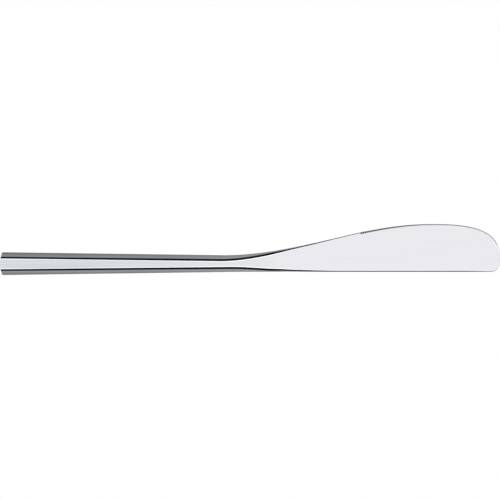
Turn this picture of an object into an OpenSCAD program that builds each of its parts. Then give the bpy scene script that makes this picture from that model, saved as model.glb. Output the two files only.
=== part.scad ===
/* [Overall] */
// Length from the butt to the tip of the blade
knife_l = 235; // [225:1:250]

/* [Handle] */
// Length from the butt to the middle of the neck weld
handle_l = 120; // [112:1:128]
// Thickness across the two flats
handle_t = 6.6; // [6:0.1:7.8]
// Width at the butt
butt_w = 10.8; // [9.6:0.1:12.6]
// Width at the waist, the slimmest place
waist_w = 8; // [7.6:0.1:9.2]
// Distance of the waist behind the neck weld
waist_back = 16.5; // [15:0.5:30]
// Width of a facet at the butt, seen from above
butt_facet_w = 2.5; // [1.9:0.05:2.6]
// Width of a facet at the waist, seen from above
waist_facet_w = 2.15; // [1.7:0.05:2.2]
// Slope of the facets away from the flats, in degrees
facet_angle = 41; // [36:1:44]
// How far the butt bulges past its corners
butt_bulge = 1.1; // [0.6:0.1:1.6]
// Wall of the two pressed shells
shell_wall = 1; // [0.7:0.05:1.1]

/* [Neck] */
// Distance behind the neck weld at which the flats start to fall
neck_back = 12.5; // [8:0.5:14]
// Distance ahead of the neck weld at which the facets end
neck_front = 26.5; // [20:0.5:32]

/* [Blade] */
// Greatest height from the spine to the cutting edge
blade_h = 22.6; // [20:0.1:25]
// Distance of the spine below the handle's centre line
spine_drop = 3.9; // [3.6:0.05:4.2]
// Thickness at the spine where the neck ends
spine_t = 2; // [1.8:0.1:2.6]
// Thickness at the spine at the tip
tip_t = 1; // [0.8:0.05:1.6]
// Thickness at the tip at the blade's greatest height
edge_t = 0.3; // [0.2:0.05:0.5]
// Width of the small bevels along the spine and the blunt edge
spine_bevel = 0.25; // [0.15:0.05:0.35]
// Distance of the heel, where the teeth start, behind the tip
heel_back = 65.7; // [58:0.1:68]
// Height from the spine to the edge at the heel
heel_h = 18.6; // [16:0.1:19.5]
// Rise of the edge at the heel, per millimetre of length
heel_rise = 0.226; // [0.15:0.005:0.26]
// Distance of the greatest height behind the tip
crest_back = 32.5; // [26:0.5:36]
// Squareness of the nose, where 2 is an ellipse
nose_square = 2.82; // [2.2:0.02:3.2]
// Height above the spine at which the nose reaches the tip
nose_h = 5.8; // [4.6:0.1:7]
// Radius of the corner between the tip and the spine
tip_r = 4.4; // [2:0.1:4.5]

/* [Teeth] */
// Spacing of the teeth along the edge
tooth_pitch = 1; // [0.8:0.1:2]
// Depth of the scallops between the teeth
tooth_depth = 0.25; // [0.1:0.05:0.4]
// Length of the toothed edge, along its curve
toothed_l = 68; // [40:1:72]

/* [Tang] */
// Length of the tang behind its shoulder
tang_l = 52; // [30:1:70]
// Width of the tang at its root
tang_w = 4; // [3:0.1:4.4]
// Width of the tang at its end
tang_end_w = 3; // [2:0.1:3]
// Thickness of the tang at its root
tang_t = 2.4; // [1.8:0.1:2.6]
// Thickness of the tang at its end
tang_end_t = 1.8; // [1.2:0.1:1.8]
// Length of the shoulder that centres the blade in the handle's mouth
shoulder_l = 3; // [2:0.5:5]
// Gap between the shoulder and the mouth
shoulder_gap = 0.05; // [0.02:0.01:0.15]

/* [Welds] */
// Height of the weld between the two shells
seam_h = 0.4; // [0.2:0.05:0.6]
// Length of the weld between the handle and the blade
neck_weld_l = 0.6; // [0.3:0.1:1]

/* [Hidden] */

// Working frame: X from the butt to the tip, Y up to the cutting edge, Z out of the upper flat
joint_x = handle_l;
waist_x = joint_x - waist_back;
flat_end_x = joint_x - neck_back;
neck_end_x = joint_x + neck_front;
heel_x = knife_l - heel_back;
crest_x = knife_l - crest_back;
shell_end_x = joint_x - neck_weld_l / 2;
blade_start_x = joint_x + neck_weld_l / 2;
shoulder_x = joint_x - shoulder_l;

heel_y = heel_h - spine_drop;
crest_y = blade_h - spine_drop;
nose_y = nose_h - spine_drop;
handle_half_t = handle_t / 2;
taper = (butt_w - waist_w) / 2 / waist_x;
face_fall = (tip_t - edge_t) / 2 / blade_h;
tip_fall = (spine_t - tip_t) / 2 / (knife_l - neck_end_x);
butt_r = (pow(butt_w / 2, 2) + pow(butt_bulge, 2)) / (2 * butt_bulge);

// Lengths that only have to pass the solids they cut
past = 1;
reach = knife_l + butt_w;

// Steps along the curved stretches
neck_steps = 14;
ramp_steps = 5;
curve_steps = 60;
tip_steps = 10;
scallop_steps = 4;

function blend(a, b, t) = a + (b - a) * t;
function limit(t) = min(1, max(0, t));
function ease(t) = let (c = limit(t)) c * c * (3 - 2 * c);

// A curve from height y0 with slope m0 to height y1 with slope m1, over a run from x0 to x1
function sweep(x, x0, y0, m0, x1, y1, m1) =
    let (run = x1 - x0, t = (x - x0) / run)
    (2 * t * t * t - 3 * t * t + 1) * y0
    + (t * t * t - 2 * t * t + t) * run * m0
    + (3 * t * t - 2 * t * t * t) * y1
    + (t * t * t - t * t) * run * m1;

// The two sides of the outline, seen from above
function handle_half_w(x) = butt_w / 2 - taper * x;
function upper_y(x) =
    x <= waist_x ? handle_half_w(x)
    : x <= heel_x ? sweep(x, waist_x, waist_w / 2, -taper, heel_x, heel_y, heel_rise)
    : sweep(x, heel_x, heel_y, heel_rise, crest_x, crest_y, 0);
function lower_y(x) =
    x <= waist_x ? -handle_half_w(x)
    : x <= neck_end_x ? sweep(x, waist_x, -waist_w / 2, taper, neck_end_x, -spine_drop, 0)
    : -spine_drop;

// Half thickness of the blade, a flat face, and how far the neck has fallen to it
function face_z(x, y) = spine_t / 2 - (x - neck_end_x) * tip_fall - (y + spine_drop) * face_fall;
function fall(x) = ease((x - flat_end_x) / (neck_end_x - flat_end_x));
function facet_w(x) =
    blend(blend(butt_facet_w, waist_facet_w, min(1, x / waist_x)), spine_bevel, fall(x));

// The eight corners of the section at x, with every side moved inwards by inset
function ring(x, inset) =
    let (
        w = facet_w(x),
        low = lower_y(x),
        high = upper_y(x),
        low_z = blend(handle_half_t, face_z(x, low + w), fall(x)),
        high_z = blend(handle_half_t, face_z(x, high - w), fall(x)),
        facet_drop = w * tan(facet_angle),
        ridge_shift = w + inset * tan(facet_angle / 2),
        band_shift = facet_drop + inset * tan(45 - facet_angle / 2)
    )
    [
        [x, low + inset, band_shift - low_z],
        [x, low + ridge_shift, inset - low_z],
        [x, high - ridge_shift, inset - high_z],
        [x, high - inset, band_shift - high_z],
        [x, high - inset, high_z - band_shift],
        [x, high - ridge_shift, high_z - inset],
        [x, low + ridge_shift, low_z - inset],
        [x, low + inset, low_z - band_shift]
    ];

// A closed solid through rings of corners, from the first to the last
module loft(rings) {
    sides = len(rings[0]);
    last = (len(rings) - 1) * sides;
    polyhedron(
        points = [for (r = rings) each r],
        faces = concat(
            [[for (j = [0 : sides - 1]) j]],
            [[for (j = [sides - 1 : -1 : 0]) last + j]],
            [
                for (i = [0 : sides : last - sides], j = [0 : sides - 1])
                    let (a = i + j, b = i + (j + 1) % sides)
                    each [[a, a + sides, b + sides], [a, b + sides, b]]
            ]
        )
    );
}

// Places of the sections from behind the butt to the heel
handle_places = [-past, waist_x];
neck_places = [for (i = [0 : neck_steps]) blend(flat_end_x, neck_end_x, i / neck_steps)];
ramp_places = [for (i = [1 : ramp_steps]) blend(neck_end_x, heel_x, i / ramp_steps)];

// A box between two places along X, with its height between two levels
module block(x0, x1, z0, z1) {
    translate([x0, -reach, z0])
        cube([x1 - x0, 2 * reach, z1 - z0]);
}

// Everything ahead of the rounded butt, whose curve is moved inwards by inset
module ahead_of_butt(inset) {
    translate([butt_r, 0, -reach])
        cylinder(r = butt_r - inset, h = 2 * reach, $fn = 96);
    translate([butt_r, -reach, -reach])
        cube([reach, 2 * reach, 2 * reach]);
}

// The outer form from the butt to the heel
module outer_form() {
    intersection() {
        loft([for (x = concat(handle_places, neck_places, ramp_places)) ring(x, 0)]);
        ahead_of_butt(0);
    }
}

// The space inside the shells
module cavity() {
    intersection() {
        loft([for (x = concat(handle_places, neck_places)) if (x < neck_end_x) ring(x, shell_wall)]);
        ahead_of_butt(shell_wall);
    }
}

// The wall of the handle between two levels
module handle_wall(z0, z1) {
    difference() {
        intersection() {
            outer_form();
            block(-past, shell_end_x, z0, z1);
        }
        cavity();
    }
}

// A straight plug of the mouth's section, a gap smaller all round
module mouth_plug(x0, x1, gap) {
    mouth = ring(joint_x, shell_wall + gap);
    loft([for (x = [x0, x1]) [for (p = mouth) [x, p[1], p[2]]]]);
}

// The curve of the cutting edge from the heel over the crest to the tip, with its running length
edge_curve = concat(
    [for (i = [0 : curve_steps - 1]) let (x = blend(heel_x, crest_x, i / curve_steps)) [x, upper_y(x)]],
    [
        for (i = [0 : curve_steps])
            let (a = 90 * (1 - i / curve_steps), power = 2 / nose_square)
            [
                crest_x + crest_back * pow(cos(a), power),
                nose_y + (crest_y - nose_y) * pow(sin(a), power)
            ]
    ]
);
edge_runs = [
    for (
        i = 0, run = 0;
        i < len(edge_curve);
        run = run + norm(edge_curve[min(i + 1, len(edge_curve) - 1)] - edge_curve[i]), i = i + 1
    ) run
];
edge_xs = [for (i = [0 : len(edge_curve) - 1]) [edge_runs[i], edge_curve[i][0]]];
edge_ys = [for (i = [0 : len(edge_curve) - 1]) [edge_runs[i], edge_curve[i][1]]];
edge_l = edge_runs[len(edge_runs) - 1];
teeth = floor(min(toothed_l, edge_l) / tooth_pitch);

function on_edge(run) = [lookup(run, edge_xs), lookup(run, edge_ys)];
function into_blade(run) =
    let (step = tooth_pitch / scallop_steps, way = on_edge(run + step) - on_edge(run - step))
    [way[1], -way[0]] / norm(way);
function scallop(run, share) = on_edge(run) + into_blade(run) * tooth_depth * sin(180 * share);

// The outline of the toothed plate: teeth from the heel, the nose, the tip's corner and the spine
plate_outline = concat(
    [
        for (k = [0 : teeth - 1], j = [0 : scallop_steps - 1])
            scallop((k + j / scallop_steps) * tooth_pitch, j / scallop_steps)
    ],
    [
        for (i = [0 : tip_steps])
            on_edge(blend(teeth * tooth_pitch, edge_l, i / tip_steps))
    ],
    [
        for (i = [0 : tip_steps])
            let (a = 90 * i / tip_steps)
            [knife_l - tip_r + tip_r * cos(a), tip_r - spine_drop - tip_r * sin(a)]
    ],
    [[heel_x, -spine_drop]]
);

// The section of the plate at x: a wedge from the spine to the edge, bevelled along the spine
function plate_ring(x) =
    let (
        bevel_y = spine_bevel - spine_drop,
        above_y = crest_y + past,
        spine_z = face_z(x, bevel_y) - spine_bevel * tan(facet_angle)
    )
    [
        [x, -spine_drop, -spine_z],
        [x, bevel_y, -face_z(x, bevel_y)],
        [x, above_y, -face_z(x, above_y)],
        [x, above_y, face_z(x, above_y)],
        [x, bevel_y, face_z(x, bevel_y)],
        [x, -spine_drop, spine_z]
    ];

module toothed_plate() {
    intersection() {
        translate([0, 0, -spine_t])
            linear_extrude(height = 2 * spine_t)
                polygon(plate_outline);
        loft([plate_ring(heel_x - past), plate_ring(knife_l + past)]);
    }
}

function bar_ring(x, w, t) = [[x, -w / 2, -t / 2], [x, w / 2, -t / 2], [x, w / 2, t / 2], [x, -w / 2, t / 2]];

module tang() {
    loft([
        bar_ring(shoulder_x - tang_l, tang_end_w, tang_end_t),
        bar_ring(shoulder_x, tang_w, tang_t)
    ]);
}

// The knife lies on its lower flat, with the middle of that flat at the origin
module lay_flat() {
    translate([-flat_end_x / 2, 0, handle_half_t])
        children();
}

// One forging: the toothed blade, its neck, the shoulder and the tang
module blade() {
    color("gainsboro") lay_flat() {
        intersection() {
            outer_form();
            block(blade_start_x, heel_x, -reach, reach);
        }
        toothed_plate();
        mouth_plug(shoulder_x, blade_start_x, shoulder_gap);
        tang();
    }
}

module upper_shell() {
    color("silver") lay_flat()
        handle_wall(seam_h / 2, handle_t);
}

module lower_shell() {
    color("silver") lay_flat()
        handle_wall(-handle_t, -seam_h / 2);
}

// The weld that closes the two shells along both edges and round the butt
module seam_weld() {
    color("lightgray") lay_flat()
        handle_wall(-seam_h / 2, seam_h / 2);
}

// The weld ring between the mouth of the handle and the blade
module neck_weld() {
    color("lightgray") lay_flat()
        difference() {
            intersection() {
                outer_form();
                block(shell_end_x, blade_start_x, -reach, reach);
            }
            mouth_plug(shell_end_x - past, blade_start_x + past, 0);
        }
}

// Quartz putty that fills the handle round the tang
module handle_filler() {
    color("tan") lay_flat()
        difference() {
            intersection() {
                cavity();
                block(-past, shoulder_x, -reach, reach);
            }
            tang();
        }
}

blade();
upper_shell();
lower_shell();
seam_weld();
neck_weld();
handle_filler();
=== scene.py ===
"""Table knife: a forged blade with fine teeth, welded to a hollow handle of two pressed shells."""

import logging
import math
from dataclasses import dataclass
from enum import Enum
from typing import Any, Callable

import bpy
from mathutils import Matrix, Vector


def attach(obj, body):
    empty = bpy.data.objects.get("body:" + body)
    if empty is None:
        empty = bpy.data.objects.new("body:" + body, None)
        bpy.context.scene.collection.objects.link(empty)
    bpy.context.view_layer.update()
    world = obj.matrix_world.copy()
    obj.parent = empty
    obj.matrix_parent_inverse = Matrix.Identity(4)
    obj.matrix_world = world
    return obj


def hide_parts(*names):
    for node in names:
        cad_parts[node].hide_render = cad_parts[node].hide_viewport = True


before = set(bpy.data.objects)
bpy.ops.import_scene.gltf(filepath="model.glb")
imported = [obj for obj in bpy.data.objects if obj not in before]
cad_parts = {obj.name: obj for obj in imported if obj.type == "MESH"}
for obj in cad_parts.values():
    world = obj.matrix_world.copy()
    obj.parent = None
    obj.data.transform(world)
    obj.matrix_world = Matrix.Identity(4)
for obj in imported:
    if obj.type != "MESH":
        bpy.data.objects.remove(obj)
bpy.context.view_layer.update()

log = logging.getLogger("table_knife")

MM = 0.001
# Points closer than this are one point, in metres
WELD_GAP = 1e-6

Points = list[Vector]
Colour = tuple[float, float, float, float]
Piece = bpy.types.Object
Tree = bpy.types.NodeTree
Socket = bpy.types.NodeSocket


class Half(Enum):
    """The two pressed halves of the handle, by the side of the mid-plane that they lie on."""

    UPPER = 1
    LOWER = -1


def blend(a: float, b: float, t: float) -> float:
    """Returns the value a share t of the way from a to b."""
    return a + (b - a) * t


def ease(t: float) -> float:
    """Returns t limited to 0 and 1, with a level start and end."""
    c = min(1.0, max(0.0, t))
    return c * c * (3 - 2 * c)


def shares(steps: int) -> list[float]:
    """Returns evenly spaced shares from 0 to 1, with both ends."""
    return [i / steps for i in range(steps + 1)]


def sweep(x: float, start: Vector, start_slope: float, end: Vector, end_slope: float) -> float:
    """Height of a smooth curve between two points with given slopes.

    Args:
        x: Where the height is wanted.
        start: First point of the curve.
        start_slope: Slope at the first point.
        end: Last point of the curve.
        end_slope: Slope at the last point.

    Returns:
        The height of the curve at x.
    """
    run = end.x - start.x
    t = (x - start.x) / run
    return (
        (2 * t**3 - 3 * t**2 + 1) * start.y
        + (t**3 - 2 * t**2 + t) * run * start_slope
        + (3 * t**2 - 2 * t**3) * end.y
        + (t**3 - t**2) * run * end_slope
    )


def round_corner(before: Vector, corner: Vector, after: Vector, radius: float, steps: int) -> Points:
    """Points of the arc that rounds a corner between two straight lines.

    Args:
        before: A point on the line that comes in.
        corner: Where the two lines meet.
        after: A point on the line that goes out.
        radius: Radius of the rounding.
        steps: Number of straight pieces that the arc is drawn with.

    Returns:
        The points of the arc, from the first line to the second.
    """
    to_before = (before - corner).normalized()
    to_after = (after - corner).normalized()
    half_angle = to_before.angle(to_after) / 2
    reach = radius / math.tan(half_angle)
    centre = corner + (to_before + to_after).normalized() * (radius / math.sin(half_angle))
    first = corner + to_before * reach - centre
    last = corner + to_after * reach - centre
    turn = math.pi - 2 * half_angle
    return [
        centre + (first * math.sin((1 - t) * turn) + last * math.sin(t * turn)) / math.sin(turn)
        for t in shares(steps)
    ]


@dataclass(frozen=True)
class KnifeForm:
    """Sizes of the knife's outer form, in millimetres.

    X runs from the butt to the tip, Y up to the cutting edge, and Z out of the upper flat, from the
    plane midway between the two flats.
    """

    # The handle and its joint with the blade
    knife_l: float = 235.0
    handle_l: float = 120.0
    handle_t: float = 6.6
    butt_w: float = 10.8
    butt_bulge: float = 1.1
    waist_w: float = 8.0
    waist_back: float = 16.5
    shell_wall: float = 1.0
    neck_weld_l: float = 0.6
    # Facets beside the flats: widths seen from above, slopes, and how far they bow out for their width
    butt_facet_w: float = 2.5
    waist_facet_w: float = 2.15
    edge_waist_facet_w: float = 2.3
    butt_facet_angle: float = math.radians(41.9)
    facet_angle: float = math.radians(40.7)
    facet_crown: float = 0.009
    # Slopes of the facets on the spine's side of neck and blade, and where they turn to them
    neck_angle: float = math.radians(50)
    neck_turn_x: float = 126.0
    neck_turn_l: float = 8.0
    spine_angle: float = math.radians(44)
    spine_turn_x: float = 138.0
    spine_turn_l: float = 14.0
    # Roundings of the ridges and side bands, and the share of a band's height where it has one more point
    butt_ridge_r: float = 2.75
    waist_ridge_r: float = 3.4
    ridge_r_per_facet: float = 3.1
    band_r: float = 0.12
    band_r_per_facet: float = 0.2
    least_r: float = 0.03
    band_share: float = 0.92
    # Neck and blade
    neck_back: float = 12.5
    neck_front: float = 26.5
    blade_h: float = 22.6
    spine_drop: float = 3.9
    spine_t: float = 2.0
    tip_t: float = 1.0
    edge_t: float = 0.3
    heel_back: float = 65.7
    heel_h: float = 18.6
    heel_rise: float = 0.226
    crest_back: float = 32.5
    nose_square: float = 2.82
    nose_h: float = 5.8
    tip_r: float = 4.4
    # Bevels on the spine's side, from the neck to the tip
    neck_facet_l: float = 33.0
    neck_bevel: float = 0.68
    neck_bevel_front: float = 14.0
    neck_bevel_l: float = 30.0
    spine_bevel: float = 0.38
    tip_bevel: float = 0.17
    tip_bevel_l: float = 18.0
    # Bevels on the edge's side, from the neck to the heel
    edge_neck_back: float = 18.0
    edge_neck_l: float = 42.0
    edge_neck_bevel: float = 0.5
    blunt_bevel: float = 0.27
    blunt_front: float = 21.0
    blunt_l: float = 20.0
    # Number of straight pieces that each part of a section and the edge are drawn with
    band_steps: int = 3
    facet_steps: int = 4
    ridge_steps: int = 8
    flat_steps: int = 10
    curve_steps: int = 400

    @property
    def joint_x(self) -> float:
        """Middle of the weld between handle and blade."""
        return self.handle_l

    @property
    def shell_end_x(self) -> float:
        """Where the shells end at the weld."""
        return self.joint_x - self.neck_weld_l / 2

    @property
    def blade_start_x(self) -> float:
        """Where the blade starts at the weld."""
        return self.joint_x + self.neck_weld_l / 2

    @property
    def waist_x(self) -> float:
        """The handle's slimmest place."""
        return self.joint_x - self.waist_back

    @property
    def flat_end_x(self) -> float:
        """Where the flats start to fall to the blade."""
        return self.joint_x - self.neck_back

    @property
    def neck_end_x(self) -> float:
        """Where the neck has become the blade."""
        return self.joint_x + self.neck_front

    @property
    def heel_x(self) -> float:
        """Where the teeth start."""
        return self.knife_l - self.heel_back

    @property
    def crest(self) -> Vector:
        """The highest point of the cutting edge."""
        return Vector((self.knife_l - self.crest_back, self.blade_h - self.spine_drop))

    @property
    def corner(self) -> Vector:
        """Centre of the rounded corner between the spine and the tip."""
        return Vector((self.knife_l - self.tip_r, self.tip_r - self.spine_drop))

    @property
    def taper(self) -> float:
        """How much each side of the handle closes in per millimetre."""
        return (self.butt_w - self.waist_w) / 2 / self.waist_x

    @property
    def butt_r(self) -> float:
        """Radius of the butt, seen from above."""
        return ((self.butt_w / 2) ** 2 + self.butt_bulge**2) / (2 * self.butt_bulge)

    def place(self, x: float, y: float, z: float) -> Vector:
        """Returns a point in metres in the part's frame, whose origin is on the handle's lower flat."""
        return Vector((x - self.flat_end_x / 2, y, z + self.handle_t / 2)) * MM

    def weld_place(self) -> Vector:
        """Returns the middle of the weld between handle and blade, in metres in the part's frame."""
        return self.place(self.joint_x, 0, 0)

    def to_waist(self, x: float) -> float:
        """Returns how far x lies on the way from the butt, 0, to the waist, 1."""
        return min(1.0, x / self.waist_x)

    def upper_y(self, x: float) -> float:
        """The outline on the side of the cutting edge, up to its highest point.

        Args:
            x: Length from the butt.

        Returns:
            The outline's place across the knife.
        """
        waist = Vector((self.waist_x, self.waist_w / 2))
        heel = Vector((self.heel_x, self.heel_h - self.spine_drop))
        if x <= self.waist_x:
            return self.butt_w / 2 - self.taper * x
        if x <= self.heel_x:
            return sweep(x, waist, -self.taper, heel, self.heel_rise)
        return sweep(x, heel, self.heel_rise, self.crest, 0)

    def lower_y(self, x: float) -> float:
        """The outline on the side of the spine.

        Args:
            x: Length from the butt.

        Returns:
            The outline's place across the knife.
        """
        waist = Vector((self.waist_x, -self.waist_w / 2))
        neck_end = Vector((self.neck_end_x, -self.spine_drop))
        if x <= self.waist_x:
            return self.taper * x - self.butt_w / 2
        if x <= self.neck_end_x:
            return sweep(x, waist, self.taper, neck_end, 0)
        return -self.spine_drop

    def fall(self, x: float) -> float:
        """Returns how far the neck has gone from handle, 0, to blade, 1."""
        return ease((x - self.flat_end_x) / (self.neck_end_x - self.flat_end_x))

    def top_z(self, x: float, y: float) -> float:
        """The half thickness at a point of the flats, the neck or the blade's faces.

        Args:
            x: Length from the butt.
            y: Place across the knife.

        Returns:
            The height above the plane midway between the flats.
        """
        tip_fall = (self.spine_t - self.tip_t) / 2 / (self.knife_l - self.neck_end_x)
        face_fall = (self.tip_t - self.edge_t) / 2 / self.blade_h
        face_z = self.spine_t / 2 - (x - self.neck_end_x) * tip_fall - (y + self.spine_drop) * face_fall
        return blend(self.handle_t / 2, face_z, self.fall(x))

    def handle_facet_w(self, x: float, waist_w: float) -> float:
        """Returns the width of a facet along the handle, seen from above, from its width at the waist."""
        return blend(self.butt_facet_w, waist_w, self.to_waist(x))

    def facet_w(self, x: float) -> float:
        """The width of the facets on the spine's side along handle, neck and blade.

        Args:
            x: Length from the butt.

        Returns:
            The width, seen from above.
        """
        past_neck = ease((x - self.joint_x - self.neck_bevel_front) / self.neck_bevel_l)
        on_spine = blend(self.neck_bevel, self.spine_bevel, past_neck)
        near_tip = ease(1 - (self.knife_l - x) / self.tip_bevel_l)
        along_neck = ease((x - self.flat_end_x) / self.neck_facet_l)
        on_handle = self.handle_facet_w(x, self.waist_facet_w)
        return blend(on_handle, blend(on_spine, self.tip_bevel, near_tip), along_neck)

    def edge_facet_w(self, x: float) -> float:
        """The width of the facets on the edge's side, which end in a thin blunt edge.

        Args:
            x: Length from the butt.

        Returns:
            The width, seen from above.
        """
        blunt = ease((x - self.joint_x - self.blunt_front) / self.blunt_l)
        along_neck = ease((x - self.joint_x + self.edge_neck_back) / self.edge_neck_l)
        on_handle = self.handle_facet_w(x, self.edge_waist_facet_w)
        return blend(on_handle, blend(self.edge_neck_bevel, self.blunt_bevel, blunt), along_neck)

    def handle_tilt(self, x: float) -> float:
        """Returns the slope of the handle's facets, which are a little steeper at the butt."""
        return blend(self.butt_facet_angle, self.facet_angle, self.to_waist(x))

    def spine_tilt(self, x: float) -> float:
        """The slope of the facets on the spine's side, which are steepest at the neck.

        Args:
            x: Length from the butt.

        Returns:
            The slope, as an angle from the flat.
        """
        to_neck = ease((x - self.neck_turn_x) / self.neck_turn_l)
        to_spine = ease((x - self.spine_turn_x) / self.spine_turn_l)
        return blend(self.handle_tilt(x), blend(self.neck_angle, self.spine_angle, to_spine), to_neck)

    def ridge_r(self, x: float, facet_w: float) -> float:
        """Returns the rounding of the ridge between a flat and a facet."""
        on_handle = blend(self.butt_ridge_r, self.waist_ridge_r, self.to_waist(x))
        return min(on_handle, self.ridge_r_per_facet * facet_w)

    def side_profile(
        self, x: float, facet_w: float, tilt: float, top_z: float, level: float, inset: float
    ) -> Points:
        """One side of a section, from the narrow side band over the facet to the flat.

        Args:
            x: Where the section is.
            facet_w: Width of the facet, seen from above.
            tilt: Slope of the facet.
            top_z: Height of the flat.
            level: Height at which the side band starts.
            inset: How far every surface is moved inwards.

        Returns:
            Points whose x is the distance in from the side and whose y is the height.
        """
        band_z = top_z - facet_w * math.tan(tilt) - inset * math.tan(math.pi / 4 - tilt / 2)
        ridge_in = facet_w + inset * math.tan(tilt / 2)
        foot = Vector((inset, level))
        band = Vector((inset, band_z))
        ridge = Vector((ridge_in, top_z - inset))
        on_flat = ridge + Vector((1, 0))
        band_r = max(min(self.band_r, self.band_r_per_facet * facet_w) - inset, self.least_r)
        ridge_r = max(self.ridge_r(x, facet_w) - inset, self.least_r)
        below = round_corner(foot, band, ridge, band_r, self.band_steps)
        above = round_corner(band, ridge, on_flat, ridge_r, self.ridge_steps)
        # The facet bows out in a parabola, by facet_crown of its width at its middle
        span = above[0] - below[-1]
        crown = Vector((-span.y, span.x)) * (4 * self.facet_crown)
        between = shares(self.facet_steps)[1:-1]
        facet = [below[-1] + span * t + crown * (t * (1 - t)) for t in between]
        return [foot, foot.lerp(below[0], self.band_share), *below, *facet, *above]

    def half_section(self, x: float, level: float, inset: float) -> Points:
        """The upper half of the section at x, from the spine's side to the edge's side.

        Args:
            x: Where the section is.
            level: Height at which both sides start.
            inset: How far every surface is moved inwards.

        Returns:
            Points whose x is across the knife and whose y is the height.
        """
        low = self.lower_y(x)
        high = self.upper_y(x)
        low_w = self.facet_w(x)
        high_w = self.edge_facet_w(x)
        low_z = self.top_z(x, low + low_w)
        high_z = self.top_z(x, high - high_w)
        low_side = self.side_profile(x, low_w, self.spine_tilt(x), low_z, level, inset)
        high_side = self.side_profile(x, high_w, self.handle_tilt(x), high_z, level, inset)
        spine_part = [Vector((low + p.x, p.y)) for p in low_side]
        edge_part = [Vector((high - p.x, p.y)) for p in reversed(high_side)]
        return self.with_flat(spine_part, edge_part)

    def with_flat(self, spine_part: Points, edge_part: Points) -> Points:
        """Returns the two sides of a section joined by evenly spaced points over the flat."""
        between = shares(self.flat_steps)[1:-1]
        return [*spine_part, *(spine_part[-1].lerp(edge_part[0], t) for t in between), *edge_part]

    def edge_curve(self) -> Points:
        """Points along the cutting edge.

        Returns:
            The points, from the heel over the crest to the tip.
        """
        # Past the crest the edge is a quarter of a superellipse, a little squarer than an ellipse
        crest = self.crest
        nose_y = self.nose_h - self.spine_drop
        power = 2 / self.nose_square
        steps = shares(self.curve_steps)
        rise = [blend(self.heel_x, crest.x, t) for t in steps[:-1]]
        angles = [math.pi / 2 * (1 - t) for t in steps]
        nose = [
            (
                crest.x + self.crest_back * abs(math.cos(a)) ** power,
                nose_y + (crest.y - nose_y) * math.sin(a) ** power,
            )
            for a in angles
        ]
        return [Vector((x, self.upper_y(x))) for x in rise] + [Vector(p) for p in nose]

    def spine_run(self, x: float) -> float:
        """Returns the length along the spine to x, from the start of the rounded corner."""
        across = x - self.corner.x
        return across if across <= 0 else self.tip_r * math.asin(min(1.0, across / self.tip_r))

    def spine_point(self, run: float) -> tuple[Vector, Vector]:
        """A point of the spine, which turns up round the corner at the tip.

        Args:
            run: Length along the spine from the start of the rounded corner.

        Returns:
            The point, and the direction into the blade there.
        """
        corner = self.corner
        corner_l = self.tip_r * math.pi / 2
        if run <= 0:
            return Vector((corner.x + run, -self.spine_drop)), Vector((0, 1))
        if run <= corner_l:
            turn = run / self.tip_r
            way_in = Vector((-math.sin(turn), math.cos(turn)))
            return corner - way_in * self.tip_r, way_in
        return Vector((self.knife_l, corner.y + run - corner_l)), Vector((-1, 0))


def select_alone(piece: Piece) -> None:
    """Selects one piece and nothing else, and makes it the active one.

    Args:
        piece: The piece.
    """
    bpy.ops.object.select_all(action="DESELECT")
    piece.select_set(True)
    bpy.context.view_layer.objects.active = piece


def select_points(piece: Piece, test: Callable[[Vector], bool]) -> None:
    """Selects, in edit mode, the points of a piece that pass a test of their place.

    Args:
        piece: The piece, which is left in edit mode.
        test: Says of a point whether it is selected.
    """
    select_alone(piece)
    bpy.context.tool_settings.mesh_select_mode = (True, False, False)
    bpy.ops.object.mode_set(mode="EDIT")
    bpy.ops.mesh.select_all(action="DESELECT")
    bpy.ops.object.mode_set(mode="OBJECT")
    for vertex in piece.data.vertices:
        vertex.select = test(vertex.co)
    bpy.ops.object.mode_set(mode="EDIT")


def add_sheet(name: str, rows: list[Points]) -> Piece:
    """A flat sheet of quads, drawn over rows of points as sheet metal is drawn over a form.

    Args:
        name: Name of the piece.
        rows: Rows of places in metres, each with as many points.

    Returns:
        The new piece.
    """
    bpy.ops.object.select_all(action="DESELECT")
    bpy.ops.mesh.primitive_grid_add(x_subdivisions=len(rows[0]) - 1, y_subdivisions=len(rows) - 1, size=1)
    piece = bpy.context.object
    piece.name = name
    piece.data.name = name
    for vertex, place in zip(piece.data.vertices, [p for row in rows for p in row], strict=True):
        vertex.co = place
    return piece


def turn_outwards() -> None:
    """Turns all faces of the piece in edit mode outwards, and leaves edit mode."""
    bpy.ops.mesh.select_all(action="SELECT")
    bpy.ops.mesh.normals_make_consistent(inside=False)
    bpy.ops.object.mode_set(mode="OBJECT")


def close_seams(piece: Piece) -> None:
    """Merges the points of a piece that lie on each other, and turns all its faces outwards.

    Args:
        piece: The piece that is changed.
    """
    select_points(piece, lambda place: True)
    bpy.ops.mesh.remove_doubles(threshold=WELD_GAP)
    turn_outwards()


def join_pieces(piece: Piece, others: list[Piece]) -> None:
    """Makes other pieces part of one piece's mesh.

    Args:
        piece: The piece that takes up the others.
        others: The pieces that go into it.
    """
    select_alone(piece)
    for other in others:
        other.select_set(True)
    bpy.ops.object.join()


def apply_modifier(piece: Piece, kind: str, **settings: Any) -> None:
    """Adds a modifier to a piece and applies it.

    Args:
        piece: The piece that is changed.
        kind: The modifier's type.
        settings: The modifier's settings.
    """
    select_alone(piece)
    modifier = piece.modifiers.new(kind.title(), kind)
    for key, value in settings.items():
        setattr(modifier, key, value)
    bpy.ops.object.modifier_apply(modifier=modifier.name)


def smooth_surface(piece: Piece, crease: float) -> None:
    """Shades a piece smooth, with wide faces keeping their own direction.

    Args:
        piece: The piece that is changed.
        crease: Angle between two faces from which their edge stays sharp.
    """
    select_alone(piece)
    bpy.ops.object.shade_smooth_by_angle(angle=crease)
    apply_modifier(piece, "WEIGHTED_NORMAL", keep_sharp=True)


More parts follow.
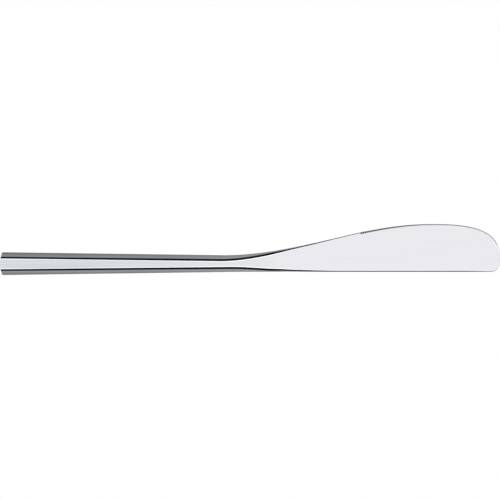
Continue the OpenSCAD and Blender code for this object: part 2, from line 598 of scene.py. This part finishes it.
def linear_colour(hex_colour: str) -> Colour:
    """The linear form of an sRGB colour.

    Args:
        hex_colour: The colour as a hex value, such as #D9DCE3.

    Returns:
        Linear red, green, blue and alpha.
    """
    channels = [int(hex_colour[i : i + 2], 16) / 255 for i in (1, 3, 5)]
    linear = [c / 12.92 if c <= 0.04045 else ((c + 0.055) / 1.055) ** 2.4 for c in channels]
    return (*linear, 1.0)


def grey(light: float) -> Colour:
    """Returns a linear grey of the given brightness."""
    return (light, light, light, 1.0)


def add_node(tree: Tree, kind: str, inputs: dict[Any, Any], **settings: Any) -> bpy.types.Node:
    """Adds a node to a tree.

    Args:
        tree: The tree that gets the node.
        kind: The node's type, without the prefix that all types share.
        inputs: For each input, by name or number, a constant or the output that feeds it.
        settings: The node's own settings.

    Returns:
        The new node.
    """
    node = tree.nodes.new(f"ShaderNode{kind}")
    for key, value in settings.items():
        setattr(node, key, value)
    for key, value in inputs.items():
        if isinstance(value, Socket):
            tree.links.new(value, node.inputs[key])
        else:
            node.inputs[key].default_value = value
    return node


def new_material(name: str) -> bpy.types.Material:
    """A material whose node tree is still empty.

    Args:
        name: The finish's name.

    Returns:
        The new material.
    """
    material = bpy.data.materials.new(name)
    material.use_nodes = True
    material.node_tree.nodes.clear()
    return material


@dataclass(frozen=True)
class PolishedSteel:
    """Mirror-polished stainless steel, with its polishing lines along the knife. Sizes are in millimetres.

    To the eye it is a bright mirror whose tone drifts a little along the polishing lines, with
    hairline scratches from use and a faint haze of fingerprints. Handle and blade are buffed to one
    tone on both sides of the weld between them.
    """

    name: str
    colour: str
    line_colour: str
    roughness: float
    haze_roughness: float
    buffed_colour: str = "#E4E6EA"
    buffed_l: float = 14.0
    # Real polishing lines and scratches are a few hundredths of a millimetre wide, drawn coarser to show
    line_w: float = 0.7
    line_l: float = 45.0
    line_span: tuple[float, float] = (0.3, 0.7)
    haze: float = 14.0
    haze_span: tuple[float, float] = (0.35, 0.75)
    scratch_w: float = 0.3
    scratch_l: float = 18.0
    scratch_depth: float = 0.0012
    noise_detail: float = 3.0

    def build(self, weld_x: float) -> bpy.types.Material:
        """Makes the finish.

        Args:
            weld_x: Where the weld between handle and blade lies along the knife, in metres.

        Returns:
            The material.
        """
        material = new_material(self.name)
        tree = material.node_tree
        place = add_node(tree, "TexCoord", {}).outputs["Object"]
        haze = self.stretched_noise(tree, place, (self.haze, self.haze, self.haze))
        haze_low, haze_high = self.haze_span
        roughness = add_node(
            tree,
            "MapRange",
            {
                "Value": haze,
                "From Min": haze_low,
                "From Max": haze_high,
                "To Min": self.roughness,
                "To Max": self.haze_roughness,
            },
        ).outputs["Result"]
        scratches = self.stretched_noise(tree, place, (self.scratch_l, self.scratch_w, self.scratch_w))
        bump = add_node(
            tree, "Bump", {"Strength": 1.0, "Distance": self.scratch_depth * MM, "Height": scratches}
        ).outputs["Normal"]
        tone = self.buffed_tone(tree, place, weld_x)
        shader = add_node(
            tree,
            "BsdfPrincipled",
            {"Base Color": tone, "Metallic": 1.0, "Roughness": roughness, "Normal": bump},
        ).outputs["BSDF"]
        add_node(tree, "OutputMaterial", {"Surface": shader})
        return material

    def buffed_tone(self, tree: Tree, place: Socket, weld_x: float) -> Socket:
        """The steel's tone, with its polishing lines and the buffing round the weld.

        Args:
            tree: The material's tree.
            place: The output with the place on the piece.
            weld_x: Where the weld lies along the knife, in metres.

        Returns:
            The output with the colour.
        """
        lines = self.stretched_noise(tree, place, (self.line_l, self.line_w, self.line_l))
        line_low, line_high = self.line_span
        line_share = add_node(
            tree, "MapRange", {"Value": lines, "From Min": line_low, "From Max": line_high}
        ).outputs["Result"]
        lined = add_node(
            tree,
            "Mix",
            {0: line_share, 6: linear_colour(self.colour), 7: linear_colour(self.line_colour)},
            data_type="RGBA",
        ).outputs[2]
        along = add_node(tree, "SeparateXYZ", {"Vector": place}).outputs["X"]
        from_weld = add_node(tree, "Math", {0: along, 1: weld_x}, operation="SUBTRACT").outputs[0]
        distance = add_node(tree, "Math", {0: from_weld}, operation="ABSOLUTE").outputs[0]
        buffed = add_node(
            tree,
            "MapRange",
            {"Value": distance, "From Max": self.buffed_l * MM, "To Min": 1.0, "To Max": 0.0},
            interpolation_type="SMOOTHSTEP",
        ).outputs["Result"]
        return add_node(
            tree, "Mix", {0: buffed, 6: lined, 7: linear_colour(self.buffed_colour)}, data_type="RGBA"
        ).outputs[2]

    def stretched_noise(self, tree: Tree, place: Socket, size: tuple[float, float, float]) -> Socket:
        """Noise with a size of its own along, across and through the knife.

        Args:
            tree: The material's tree.
            place: The output with the place on the piece.
            size: Size of the noise along, across and through the knife, in millimetres.

        Returns:
            The output with the noise.
        """
        scale = tuple(1 / (length * MM) for length in size)
        moved = add_node(tree, "Mapping", {"Vector": place, "Scale": scale}).outputs["Vector"]
        return add_node(
            tree, "TexNoise", {"Vector": moved, "Scale": 1.0, "Detail": self.noise_detail}
        ).outputs["Fac"]


@dataclass(frozen=True)
class QuartzPutty:
    """Quartz sand set in resin, poured into the handle. Sizes are in millimetres.

    To the eye it is a matt, sandy mass: pale and dark grains in a brownish binder.
    """

    name: str = "quartz_putty"
    binder: str = "#A08C73"
    grain_colour: str = "#CDBFA6"
    grain: float = 0.4
    grain_depth: float = 0.12
    grain_bump: float = 0.6
    roughness: float = 0.9

    def build(self) -> bpy.types.Material:
        """Makes the finish.

        Returns:
            The material.
        """
        material = new_material(self.name)
        tree = material.node_tree
        place = add_node(tree, "TexCoord", {}).outputs["Object"]
        grains = add_node(tree, "TexVoronoi", {"Vector": place, "Scale": 1 / (self.grain * MM)})
        tone = add_node(tree, "SeparateColor", {"Color": grains.outputs["Color"]}).outputs["Red"]
        colour = add_node(
            tree,
            "Mix",
            {0: tone, 6: linear_colour(self.binder), 7: linear_colour(self.grain_colour)},
            data_type="RGBA",
        ).outputs[2]
        height = grains.outputs["Distance"]
        bump = add_node(
            tree,
            "Bump",
            {"Strength": self.grain_bump, "Distance": self.grain_depth * MM, "Height": height},
            invert=True,
        ).outputs["Normal"]
        shader = add_node(
            tree, "BsdfPrincipled", {"Base Color": colour, "Roughness": self.roughness, "Normal": bump}
        ).outputs["BSDF"]
        add_node(tree, "OutputMaterial", {"Surface": shader})
        return material


# The pressed shells, buffed: a cool light grey
HANDLE_STEEL = PolishedSteel("polished_handle_steel", "#CFD4DA", "#E0E4E8", 0.05, 0.09, buffed_l=55.0)
# The hardened blade, polished: paler than the handle, and more even
BLADE_STEEL = PolishedSteel("polished_blade_steel", "#EAE9EE", "#ECEBF0", 0.05, 0.08)
# The welds, ground flush: a shade duller
WELD_STEEL = PolishedSteel("ground_weld_steel", "#DCDEE4", "#E4E6EA", 0.1, 0.16)


def dress(piece: Piece, material: bpy.types.Material) -> None:
    """Gives a piece one material all over."""
    piece.data.materials.clear()
    piece.data.materials.append(material)


def fit(piece: Piece, node: str) -> None:
    """Lets a piece ride with the knife in place of its CAD node, and reports it.

    Args:
        piece: The finished piece.
        node: The CAD node that it stands for.
    """
    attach(piece, "root")
    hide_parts(node)
    log.info("%s: %d faces, finish %s", piece.name, len(piece.data.polygons), piece.data.materials[0].name)


@dataclass
class Handle:
    """The hollow handle: two pressed shells, the welds and the putty inside. Sizes are in millimetres."""

    form: KnifeForm
    seam_h: float = 0.4
    rim_r: float = 0.15
    inner_rim_r: float = 0.05
    rim_steps: int = 4
    butt_gap: float = 0.01
    first_x: float = 4.0
    straight_steps: int = 8
    waist_steps: int = 4
    neck_steps: int = 12
    crease: float = math.radians(30)

    def stations(self) -> list[float]:
        """The places of the sections ahead of the butt.

        Returns:
            Lengths from the butt, up to the end of the shells.
        """
        form = self.form
        stretches = [
            (self.first_x, form.waist_x, self.straight_steps),
            (form.waist_x, form.flat_end_x, self.waist_steps),
            (form.flat_end_x, form.shell_end_x, self.neck_steps),
        ]
        return [blend(a, b, t) for a, b, n in stretches for t in shares(n)[:-1]] + [form.shell_end_x]

    def butt_row(self, depth: float, level: float, inset: float) -> Points:
        """A section wrapped round the domed butt.

        Args:
            depth: How far the row lies behind the butt's outer surface.
            level: Height at which both sides start.
            inset: How far every side is moved inwards.

        Returns:
            The row's points.
        """
        form = self.form
        radius = form.butt_r - depth
        section = form.half_section(form.butt_bulge + depth, level, inset)
        return [Vector((form.butt_r - math.sqrt(radius**2 - p.x**2), p.x, p.y)) for p in section]

    def shell_rows(self, inset: float, rim_r: float) -> list[Points]:
        """Rows of points over one surface of a shell, from the middle of the butt to the mouth.

        Args:
            inset: How far the surface lies inside the outer form.
            rim_r: Rounding between the butt and the sides.

        Returns:
            The rows, from the butt's lower edge over its rim and along the handle.
        """
        level = self.seam_h / 2
        rim = [
            self.butt_row(
                self.butt_gap + inset + rim_r * (1 - math.cos(a)),
                level,
                inset + rim_r * (1 - math.sin(a)),
            )
            for a in [math.pi / 2 * t for t in shares(self.rim_steps)]
        ]
        butt = [Vector((p.x, p.y, level)) for p in rim[0]]
        along = [
            [Vector((x, p.x, p.y)) for p in self.form.half_section(x, level, inset)]
            for x in self.stations()
        ]
        return [butt, *rim, *along]

    def surfaces(self) -> list[list[Points]]:
        """Returns the rows over the outer and over the inner surface of a shell."""
        walls = ((0.0, self.rim_r), (self.form.shell_wall, self.inner_rim_r))
        return [self.shell_rows(inset, rim_r) for inset, rim_r in walls]

    def build_shell(self, half: Half) -> Piece:
        """Presses one shell: an outer and an inner sheet, joined all round their rims.

        Args:
            half: Which half is made.

        Returns:
            The closed shell.
        """
        sheets = []
        for rows in self.surfaces():
            placed = [[self.form.place(p.x, p.y, half.value * p.z) for p in row] for row in rows]
            sheet = add_sheet(f"{half.name.lower()}_shell_pressed", placed)
            close_seams(sheet)
            sheets.append(sheet)
        shell = sheets[0]
        join_pieces(shell, sheets[1:])
        select_points(shell, lambda place: False)
        bpy.ops.mesh.select_non_manifold()
        bpy.ops.mesh.bridge_edge_loops()
        turn_outwards()
        smooth_surface(shell, self.crease)
        return shell

    def build_seam_weld(self) -> Piece:
        """Lays the weld between the shells, along both sides and round the butt, ground flush.

        Returns:
            The closed weld.
        """
        half_h = self.seam_h / 2
        paths = []
        # The rim's first row starts and ends where the butt's row does, so it is left out
        for rows in self.surfaces():
            spine_side = [row[0] for row in reversed(rows[2:])]
            edge_side = [row[-1] for row in rows[2:]]
            paths.append([*spine_side, *rows[0], *edge_side])
        outer, inner = paths
        rows = [
            [
                self.form.place(p.x, p.y, height)
                for p, height in ((a, half_h), (a, -half_h), (b, -half_h), (b, half_h), (a, half_h))
            ]
            for a, b in zip(outer, inner, strict=True)
        ]
        weld = add_sheet("seam_weld_bead", rows)
        close_seams(weld)
        for end in (rows[0], rows[-1]):
            corners = end[:-1]
            select_points(weld, lambda place: any((place - c).length < WELD_GAP for c in corners))
            bpy.ops.mesh.edge_face_add()
            bpy.ops.object.mode_set(mode="OBJECT")
        close_seams(weld)
        smooth_surface(weld, self.crease)
        return weld

    def build_neck_weld(self) -> Piece:
        """Lays the weld ring between the handle's mouth and the blade, ground flush.

        Returns:
            The closed ring.
        """
        form = self.form
        ends = (form.shell_end_x, form.blade_start_x)
        outline = [*((x, 0.0) for x in ends), *((x, form.shell_wall) for x in reversed(ends))]
        rows = []
        for x, inset in [*outline, outline[0]]:
            half = form.half_section(x, 0.0, inset)
            ring = [*half, *(Vector((p.x, -p.y)) for p in reversed(half[1:-1])), half[0]]
            rows.append([form.place(x, p.x, p.y) for p in ring])
        weld = add_sheet("neck_weld_bead", rows)
        close_seams(weld)
        smooth_surface(weld, self.crease)
        return weld

    def build(self) -> None:
        """Builds, dresses and fits the handle's pieces."""
        weld_x = self.form.weld_place().x
        steel = HANDLE_STEEL.build(weld_x)
        weld_steel = WELD_STEEL.build(weld_x)
        for half in Half:
            shell = self.build_shell(half)
            dress(shell, steel)
            fit(shell, f"{half.name.lower()}_shell")
        welds = {"seam_weld": self.build_seam_weld(), "neck_weld": self.build_neck_weld()}
        for node, weld in welds.items():
            dress(weld, weld_steel)
            fit(weld, node)
        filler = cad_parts["handle_filler"]
        dress(filler, QuartzPutty().build())
        log.info("handle_filler: CAD node, finish %s", filler.data.materials[0].name)


@dataclass(frozen=True)
class BladeSection:
    """One section of the blade, from a point of the spine to a point of the edge, in millimetres."""

    spine: Vector
    spine_in: Vector
    spine_w: float
    edge: Vector
    edge_in: Vector
    edge_w: float
    relief: float = 0.0
    tip_share: float = 0.0


@dataclass
class Blade:
    """The forged blade with its neck, shoulder, tang and ground teeth. Sizes are in millimetres."""

    form: KnifeForm
    # The shoulder in the handle's mouth, and the tang
    shoulder_l: float = 3.0
    shoulder_gap: float = 0.05
    tang_l: float = 52.0
    tang_w: float = 4.0
    tang_end_w: float = 3.0
    tang_t: float = 2.4
    tang_end_t: float = 1.8
    # The teeth, and the hollows between them, whose reach into the face fades towards the tip
    tooth_pitch: float = 1.0
    tooth_bevel: float = 0.08
    toothed_l: float = 68.0
    tooth_depth: float = 0.3
    hollow_l: float = 0.97
    last_hollow_l: float = 0.63
    hollow_fade_start: float = 4.0
    hollow_fade_l: float = 34.0
    hollow_r: float = 1.05
    hollow_slope: float = math.radians(24)
    hollow_sides: int = 40
    # The grinding wheels, which stand clear of each other in each turn
    grinding_turns: int = 3
    wheel_l: float = 3.0
    wheel_back: float = 0.4
    # The relief on the lower face, which thins the edge
    relief_w: float = 3.5
    relief_start_l: float = 2.5
    relief_end_l: float = 5.0
    relief_end_gap: float = 1.0
    # Spacing of the sections
    neck_steps: int = 30
    ramp_steps: int = 8
    edge_step: float = 1.0
    nose_steps: int = 14
    crease: float = math.radians(20)

    def __post_init__(self) -> None:
        """Measures the running length along the cutting edge."""
        self.edge_points = self.form.edge_curve()
        self.edge_runs = [0.0]
        for a, b in zip(self.edge_points, self.edge_points[1:]):
            self.edge_runs.append(self.edge_runs[-1] + (b - a).length)

    def edge_point(self, run: float) -> tuple[Vector, Vector]:
        """A point of the cutting edge.

        Args:
            run: Length along the edge from the heel.

        Returns:
            The point, and the direction into the blade there.
        """
        runs = self.edge_runs
        i = max(k for k in range(len(runs) - 1) if k == 0 or runs[k] <= run)
        a = self.edge_points[i]
        b = self.edge_points[i + 1]
        way = (b - a).normalized()
        return a + way * (run - runs[i]), Vector((way.y, -way.x))

    def hollow_reach(self, run: float) -> float:
        """Returns how far the hollow at a length along the edge reaches into the face."""
        to_last = ease((run - self.hollow_fade_start) / self.hollow_fade_l)
        return blend(self.hollow_l, self.last_hollow_l, to_last)

    def sections(self) -> list[BladeSection]:
        """The sections that the blade is drawn over.

        Returns:
            The sections, from the neck weld to the middle of the tip.
        """
        form = self.form
        neck = [blend(form.blade_start_x, form.neck_end_x, t) for t in shares(self.neck_steps)[:-1]]
        ramp = [blend(form.neck_end_x, form.heel_x, t) for t in shares(self.ramp_steps)[:-1]]
        teeth = [self.edge_step * i for i in range(1, int(self.toothed_l / self.edge_step) + 1)]
        nose = [blend(self.toothed_l, self.edge_runs[-1], t) for t in shares(self.nose_steps)[1:]]
        straight = [self.straight_section(x) for x in [*neck, *ramp, form.heel_x]]
        return straight + [self.edge_section(run) for run in [*teeth, *nose]]

    def straight_section(self, x: float) -> BladeSection:
        """A section straight across the blade, as on the neck and the blunt edge.

        Args:
            x: Length from the butt.

        Returns:
            The section.
        """
        form = self.form
        low = Vector((x, form.lower_y(x)))
        high = Vector((x, form.upper_y(x)))
        across = Vector((0, 1))
        return BladeSection(low, across, form.facet_w(x), high, -across, form.edge_facet_w(x))

    def edge_section(self, run: float) -> BladeSection:
        """The section at a length along the toothed edge, with its relief on the lower face.

        Args:
            run: Length along the edge from the heel.

        Returns:
            The section. Past the teeth its two ends close in on each other, to meet at the tip.
        """
        form = self.form
        edge, edge_in = self.edge_point(run)
        edge_l = self.edge_runs[-1]
        last_tooth, _ = self.edge_point(min(run, self.toothed_l))
        tip_run = form.tip_r * math.pi / 2 + form.nose_h - form.tip_r
        nose_share = max(0.0, (run - self.toothed_l) / (edge_l - self.toothed_l))
        spine, spine_in = form.spine_point(blend(form.spine_run(last_tooth.x), tip_run, nose_share))
        ground_t = (self.hollow_reach(run) - self.tooth_depth) * math.tan(self.hollow_slope)
        spare = 2 * form.top_z(edge.x, edge.y) - ground_t
        to_end = (edge_l - run - self.relief_end_gap) / self.relief_end_l
        relief = spare * ease(run / self.relief_start_l) * ease(to_end)
        edge_w = blend(self.tooth_bevel, form.tip_bevel, ease(nose_share))
        return BladeSection(
            spine, spine_in, form.facet_w(spine.x), edge, edge_in, edge_w, relief, nose_share
        )

    def ring(self, section: BladeSection) -> Points:
        """The closed ring of points round one section, in metres.

        Args:
            section: The section.

        Returns:
            The points, from the spine over the upper face to the edge and back below.
        """
        form = self.form
        spine_top = section.spine + section.spine_in * section.spine_w
        edge_top = section.edge + section.edge_in * section.edge_w
        spine_z = form.top_z(spine_top.x, spine_top.y)
        edge_z = form.top_z(edge_top.x, edge_top.y)
        spine_x = section.spine.x
        spine_side = form.side_profile(spine_x, section.spine_w, form.spine_tilt(spine_x), spine_z, 0.0, 0.0)
        level = section.relief / 2
        edge_tilt = blend(form.facet_angle, form.spine_angle, section.tip_share)
        edge_side = form.side_profile(section.edge.x, section.edge_w, edge_tilt, edge_z, level, 0.0)
        spine_up = [self.lift(section.spine, section.spine_in, p.x, p.y) for p in spine_side]
        spine_down = [self.lift(section.spine, section.spine_in, p.x, -p.y) for p in spine_side[1:]]
        edge_up = [self.lift(section.edge, section.edge_in, p.x, p.y) for p in edge_side]
        if section.relief > 0:
            edge_down = self.relieved_side(section, len(edge_side) - 1)
        else:
            edge_down = [self.lift(section.edge, section.edge_in, p.x, -p.y) for p in edge_side[1:]]
        upper = form.with_flat(spine_up, edge_up[::-1])
        lower = form.with_flat(edge_down, spine_down[::-1])
        return [form.place(p.x, p.y, p.z) for p in [*upper, *lower, upper[0]]]

    @staticmethod
    def lift(start: Vector, way: Vector, distance: float, height: float) -> Vector:
        """Returns the point at a distance from a start in the plane, and at a height above it."""
        flat = start + way * distance
        return Vector((flat.x, flat.y, height))

    def relieved_side(self, section: BladeSection, count: int) -> Points:
        """The lower face along the edge, ground away so that the teeth end in a thin edge.

        Args:
            section: The section.
            count: Number of points.

        Returns:
            The points, from the edge inwards.
        """
        made = []
        for t in shares(count - 1):
            point = self.lift(section.edge, section.edge_in, self.relief_w * t, 0.0)
            point.z = section.relief * (1 - t) - self.form.top_z(point.x, point.y)
            made.append(point)
        return made

    def build_tang(self, blade: Piece) -> None:
        """Draws the shoulder and the tang out of the neck's open end.

        Args:
            blade: The blade, open at its neck.
        """
        form = self.form
        start_x = form.place(form.blade_start_x, 0, 0).x
        middle_y = (form.upper_y(form.joint_x) + form.lower_y(form.joint_x)) / 2
        centre = form.place(form.joint_x, middle_y, 0)
        on_axis = form.weld_place()
        plug = form.half_section(form.joint_x, 0.0, form.shell_wall + self.shoulder_gap)
        outer = form.half_section(form.joint_x, 0.0, 0.0)
        plug_w = plug[-1].x - plug[0].x
        plug_t = 2 * max(p.y for p in plug)
        outer_w = outer[-1].x - outer[0].x
        outer_t = 2 * max(p.y for p in outer)
        to_plug = (1, plug_w / outer_w, plug_t / outer_t)
        to_tang = (1, self.tang_w / plug_w, self.tang_t / plug_t)
        to_end = (1, self.tang_end_w / self.tang_w, self.tang_end_t / self.tang_t)
        select_points(blade, lambda place: abs(place.x - start_x) < WELD_GAP)
        self.draw_out(0.0)
        bpy.ops.transform.resize(value=to_plug, center_override=centre)
        self.draw_out(self.shoulder_l + form.neck_weld_l / 2)
        bpy.ops.mesh.edge_face_add()
        self.draw_out(0.0)
        bpy.ops.transform.resize(value=to_tang, center_override=centre)
        bpy.ops.transform.translate(value=on_axis - centre)
        self.draw_out(self.tang_l)
        bpy.ops.transform.resize(value=to_end, center_override=on_axis)
        bpy.ops.object.mode_set(mode="OBJECT")

    @staticmethod
    def draw_out(length: float) -> None:
        """Extrudes what is selected towards the butt."""
        move = {"value": (-length * MM, 0, 0)}
        bpy.ops.mesh.extrude_region_move(TRANSFORM_OT_translate=move)

    def wheel(self) -> Piece:
        """Makes the grinding wheel that cuts one hollow.

        Returns:
            The wheel, a bar along its own Z axis.
        """
        bpy.ops.object.select_all(action="DESELECT")
        bpy.ops.mesh.primitive_cylinder_add(
            vertices=self.hollow_sides, radius=self.hollow_r * MM, depth=self.wheel_l * MM
        )
        return bpy.context.object

    def wheel_place(self, run: float) -> Matrix:
        """Where the grinding wheel stands for one hollow.

        Args:
            run: Length along the edge from the heel to the middle of the hollow.

        Returns:
            The wheel's place, with its axis out of the blade and down.
        """
        form = self.form
        edge, edge_in = self.edge_point(run)
        inner = edge + edge_in * self.hollow_reach(run)
        start = form.place(inner.x, inner.y, form.top_z(inner.x, inner.y))
        out = Vector((-edge_in.x, -edge_in.y, 0))
        up = Vector((0, 0, 1))
        axis = out * math.cos(self.hollow_slope) - up * math.sin(self.hollow_slope)
        normal = out * math.sin(self.hollow_slope) + up * math.cos(self.hollow_slope)
        middle = start + normal * (self.hollow_r * MM) + axis * ((self.wheel_l / 2 - self.wheel_back) * MM)
        turn = Matrix((normal.cross(axis), normal, axis)).transposed()
        return Matrix.Translation(middle) @ turn.to_4x4()

    def grind_teeth(self, blade: Piece) -> None:
        """Grinds the hollows between the teeth into the upper face.

        Args:
            blade: The closed blade.
        """
        count = int(self.toothed_l / self.tooth_pitch)
        for first in range(self.grinding_turns):
            wheel = self.wheel()
            copies = []
            for k in range(first, count, self.grinding_turns):
                copy = wheel.copy()
                copy.data = wheel.data.copy()
                copy.matrix_world = self.wheel_place((k + 0.5) * self.tooth_pitch)
                bpy.context.collection.objects.link(copy)
                copies.append(copy)
            bpy.data.objects.remove(wheel)
            join_pieces(copies[0], copies[1:])
            apply_modifier(blade, "BOOLEAN", operation="DIFFERENCE", solver="MANIFOLD", object=copies[0])
            bpy.data.objects.remove(copies[0])

    def build(self) -> None:
        """Builds, dresses and fits the blade."""
        blade = add_sheet("blade_forged", [self.ring(section) for section in self.sections()])
        close_seams(blade)
        self.build_tang(blade)
        close_seams(blade)
        self.grind_teeth(blade)
        smooth_surface(blade, self.crease)
        dress(blade, BLADE_STEEL.build(self.form.weld_place().x))
        fit(blade, "blade")


@dataclass
class Studio:
    """A pale table under a long soft light with dark cards beside it, seen from straight above."""

    form: KnifeForm
    # The table and the lamp, in metres
    floor_size: float = 8.0
    floor_gap: float = 0.00003
    floor_colour: str = "#F4F4F4"
    floor_glow: float = 0.7
    sun_h: float = 1.0
    sun_strength: float = 3.0
    sun_angle: float = math.radians(8)
    ambient: float = 0.15
    # The camera, in millimetres, whose view is as wide as the knife is long
    lens_mm: float = 500.0
    sensor_mm: float = 36.0
    view_y: float = 6.41
    # Pale light past the ends of the cards
    end_start: float = math.radians(25)
    end_full: float = math.radians(55)
    end_light: float = 0.75
    # What polished metal sees across the knife: degrees from straight up to the edge's side, and brightness
    card_light: tuple[tuple[float, float], ...] = (
        (-90.0, 0.2),
        (-86.0, 0.27),
        (-82.5, 0.36),
        (-79.5, 0.43),
        (-76.5, 0.43),
        (-71.5, 0.22),
        (-67.0, 0.008),
        (-34.0, 0.008),
        (-32.0, 1.0),
        (-30.0, 1.0),
        (-29.0, 2.1),
        (-25.0, 2.1),
        (-24.0, 1.0),
        (15.5, 1.0),
        (16.5, 2.1),
        (20.5, 2.1),
        (21.5, 1.0),
        (22.5, 1.0),
        (25.0, 0.008),
        (55.0, 0.008),
        (60.0, 0.12),
        (67.0, 0.38),
        (78.0, 0.38),
        (82.0, 0.31),
        (86.0, 0.23),
        (90.0, 0.175),
    )

    def build_floor(self) -> None:
        """Lays the pale table, which is white to the eye and keeps the knife's shadow."""
        bpy.ops.object.select_all(action="DESELECT")
        bpy.ops.mesh.primitive_plane_add(size=self.floor_size, location=(0, 0, -self.floor_gap))
        floor = bpy.context.object
        floor.name = "floor"
        material = new_material("pale_table")
        tree = material.node_tree
        matt = add_node(tree, "BsdfDiffuse", {"Color": linear_colour(self.floor_colour)}).outputs[0]
        white = add_node(tree, "Emission", {"Strength": 1.0}).outputs[0]
        ray = add_node(tree, "LightPath", {})
        seen = ray.outputs["Is Camera Ray"]
        for kind in ("Is Glossy Ray", "Is Transmission Ray"):
            seen = add_node(tree, "Math", {0: seen, 1: ray.outputs[kind]}, operation="MAXIMUM").outputs[0]
        glow = add_node(tree, "Math", {0: seen, 1: self.floor_glow}, operation="MULTIPLY").outputs[0]
        mixed = add_node(tree, "MixShader", {0: glow, 1: matt, 2: white}).outputs[0]
        add_node(tree, "OutputMaterial", {"Surface": mixed})
        dress(floor, material)

    def build_lamp(self) -> None:
        """Hangs a soft lamp over the table, which leaves no spot on polished metal."""
        bpy.ops.object.light_add(type="SUN", location=(0, 0, self.sun_h))
        lamp = bpy.context.object
        lamp.name = "soft_lamp"
        lamp.data.energy = self.sun_strength
        lamp.data.angle = self.sun_angle
        lamp.visible_glossy = False

    def mirrored_light(self, tree: Tree) -> Socket:
        """What polished metal sees round about: the cards and lights along the knife, and pale ends.

        Args:
            tree: The world's tree.

        Returns:
            The output with the light.
        """
        way = add_node(tree, "TexCoord", {}).outputs["Generated"]
        parts = add_node(tree, "SeparateXYZ", {"Vector": way})
        tilt = add_node(
            tree, "Math", {0: parts.outputs["Y"], 1: parts.outputs["Z"]}, operation="ARCTAN2"
        ).outputs[0]
        share = add_node(
            tree, "MapRange", {"Value": tilt, "From Min": -math.pi / 2, "From Max": math.pi / 2}
        ).outputs["Result"]
        ramp = add_node(tree, "ValToRGB", {"Fac": share})
        stops = ramp.color_ramp.elements
        while len(stops) < len(self.card_light):
            stops.new(1.0)
        for stop, (degrees, light) in zip(stops, self.card_light, strict=True):
            stop.position = (degrees + 90) / 180
            stop.color = grey(light)
        along = add_node(tree, "Math", {0: parts.outputs["X"]}, operation="ABSOLUTE").outputs[0]
        toward_end = add_node(tree, "Math", {0: along}, operation="ARCSINE").outputs[0]
        end_share = add_node(
            tree,
            "MapRange",
            {"Value": toward_end, "From Min": self.end_start, "From Max": self.end_full},
            interpolation_type="SMOOTHSTEP",
        ).outputs["Result"]
        light = {0: end_share, 6: ramp.outputs["Color"], 7: grey(self.end_light)}
        return add_node(tree, "Mix", light, data_type="RGBA").outputs[2]

    def build_sky(self) -> None:
        """Sets the light round about: cards for polished metal, white for the eye, dim for the rest."""
        world = bpy.data.worlds.new("studio")
        bpy.context.scene.world = world
        world.use_nodes = True
        tree = world.node_tree
        tree.nodes.clear()
        ray = add_node(tree, "LightPath", {})
        light = grey(self.ambient)
        for kind, seen in (("Is Glossy Ray", self.mirrored_light(tree)), ("Is Camera Ray", grey(1.0))):
            mixed = {0: ray.outputs[kind], 6: light, 7: seen}
            light = add_node(tree, "Mix", mixed, data_type="RGBA").outputs[2]
        sky = add_node(tree, "Background", {"Color": light, "Strength": 1.0}).outputs[0]
        add_node(tree, "OutputWorld", {"Surface": sky})

    def build_camera(self) -> None:
        """Sets the camera straight above the knife, with a long lens."""
        data = bpy.data.cameras.new("camera")
        data.lens = self.lens_mm
        data.sensor_width = self.sensor_mm
        camera = bpy.data.objects.new("camera", data)
        bpy.context.scene.collection.objects.link(camera)
        view_w = self.form.knife_l
        distance = view_w * self.lens_mm / self.sensor_mm
        camera.location = self.form.place(view_w / 2, self.view_y, distance)
        data.clip_end = 2 * distance * MM
        bpy.context.scene.camera = camera

    def build(self) -> None:
        """Builds the floor, the light and the camera."""
        self.build_floor()
        self.build_lamp()
        self.build_sky()
        self.build_camera()
        bpy.context.scene.view_settings.view_transform = "Standard"


def main() -> None:
    """Builds the knife and its studio."""
    logging.basicConfig(level=logging.INFO, format="%(message)s")
    form = KnifeForm()
    Handle(form).build()
    Blade(form).build()
    Studio(form).build()
    bpy.context.view_layer.update()


if __name__ == "__main__":
    main()
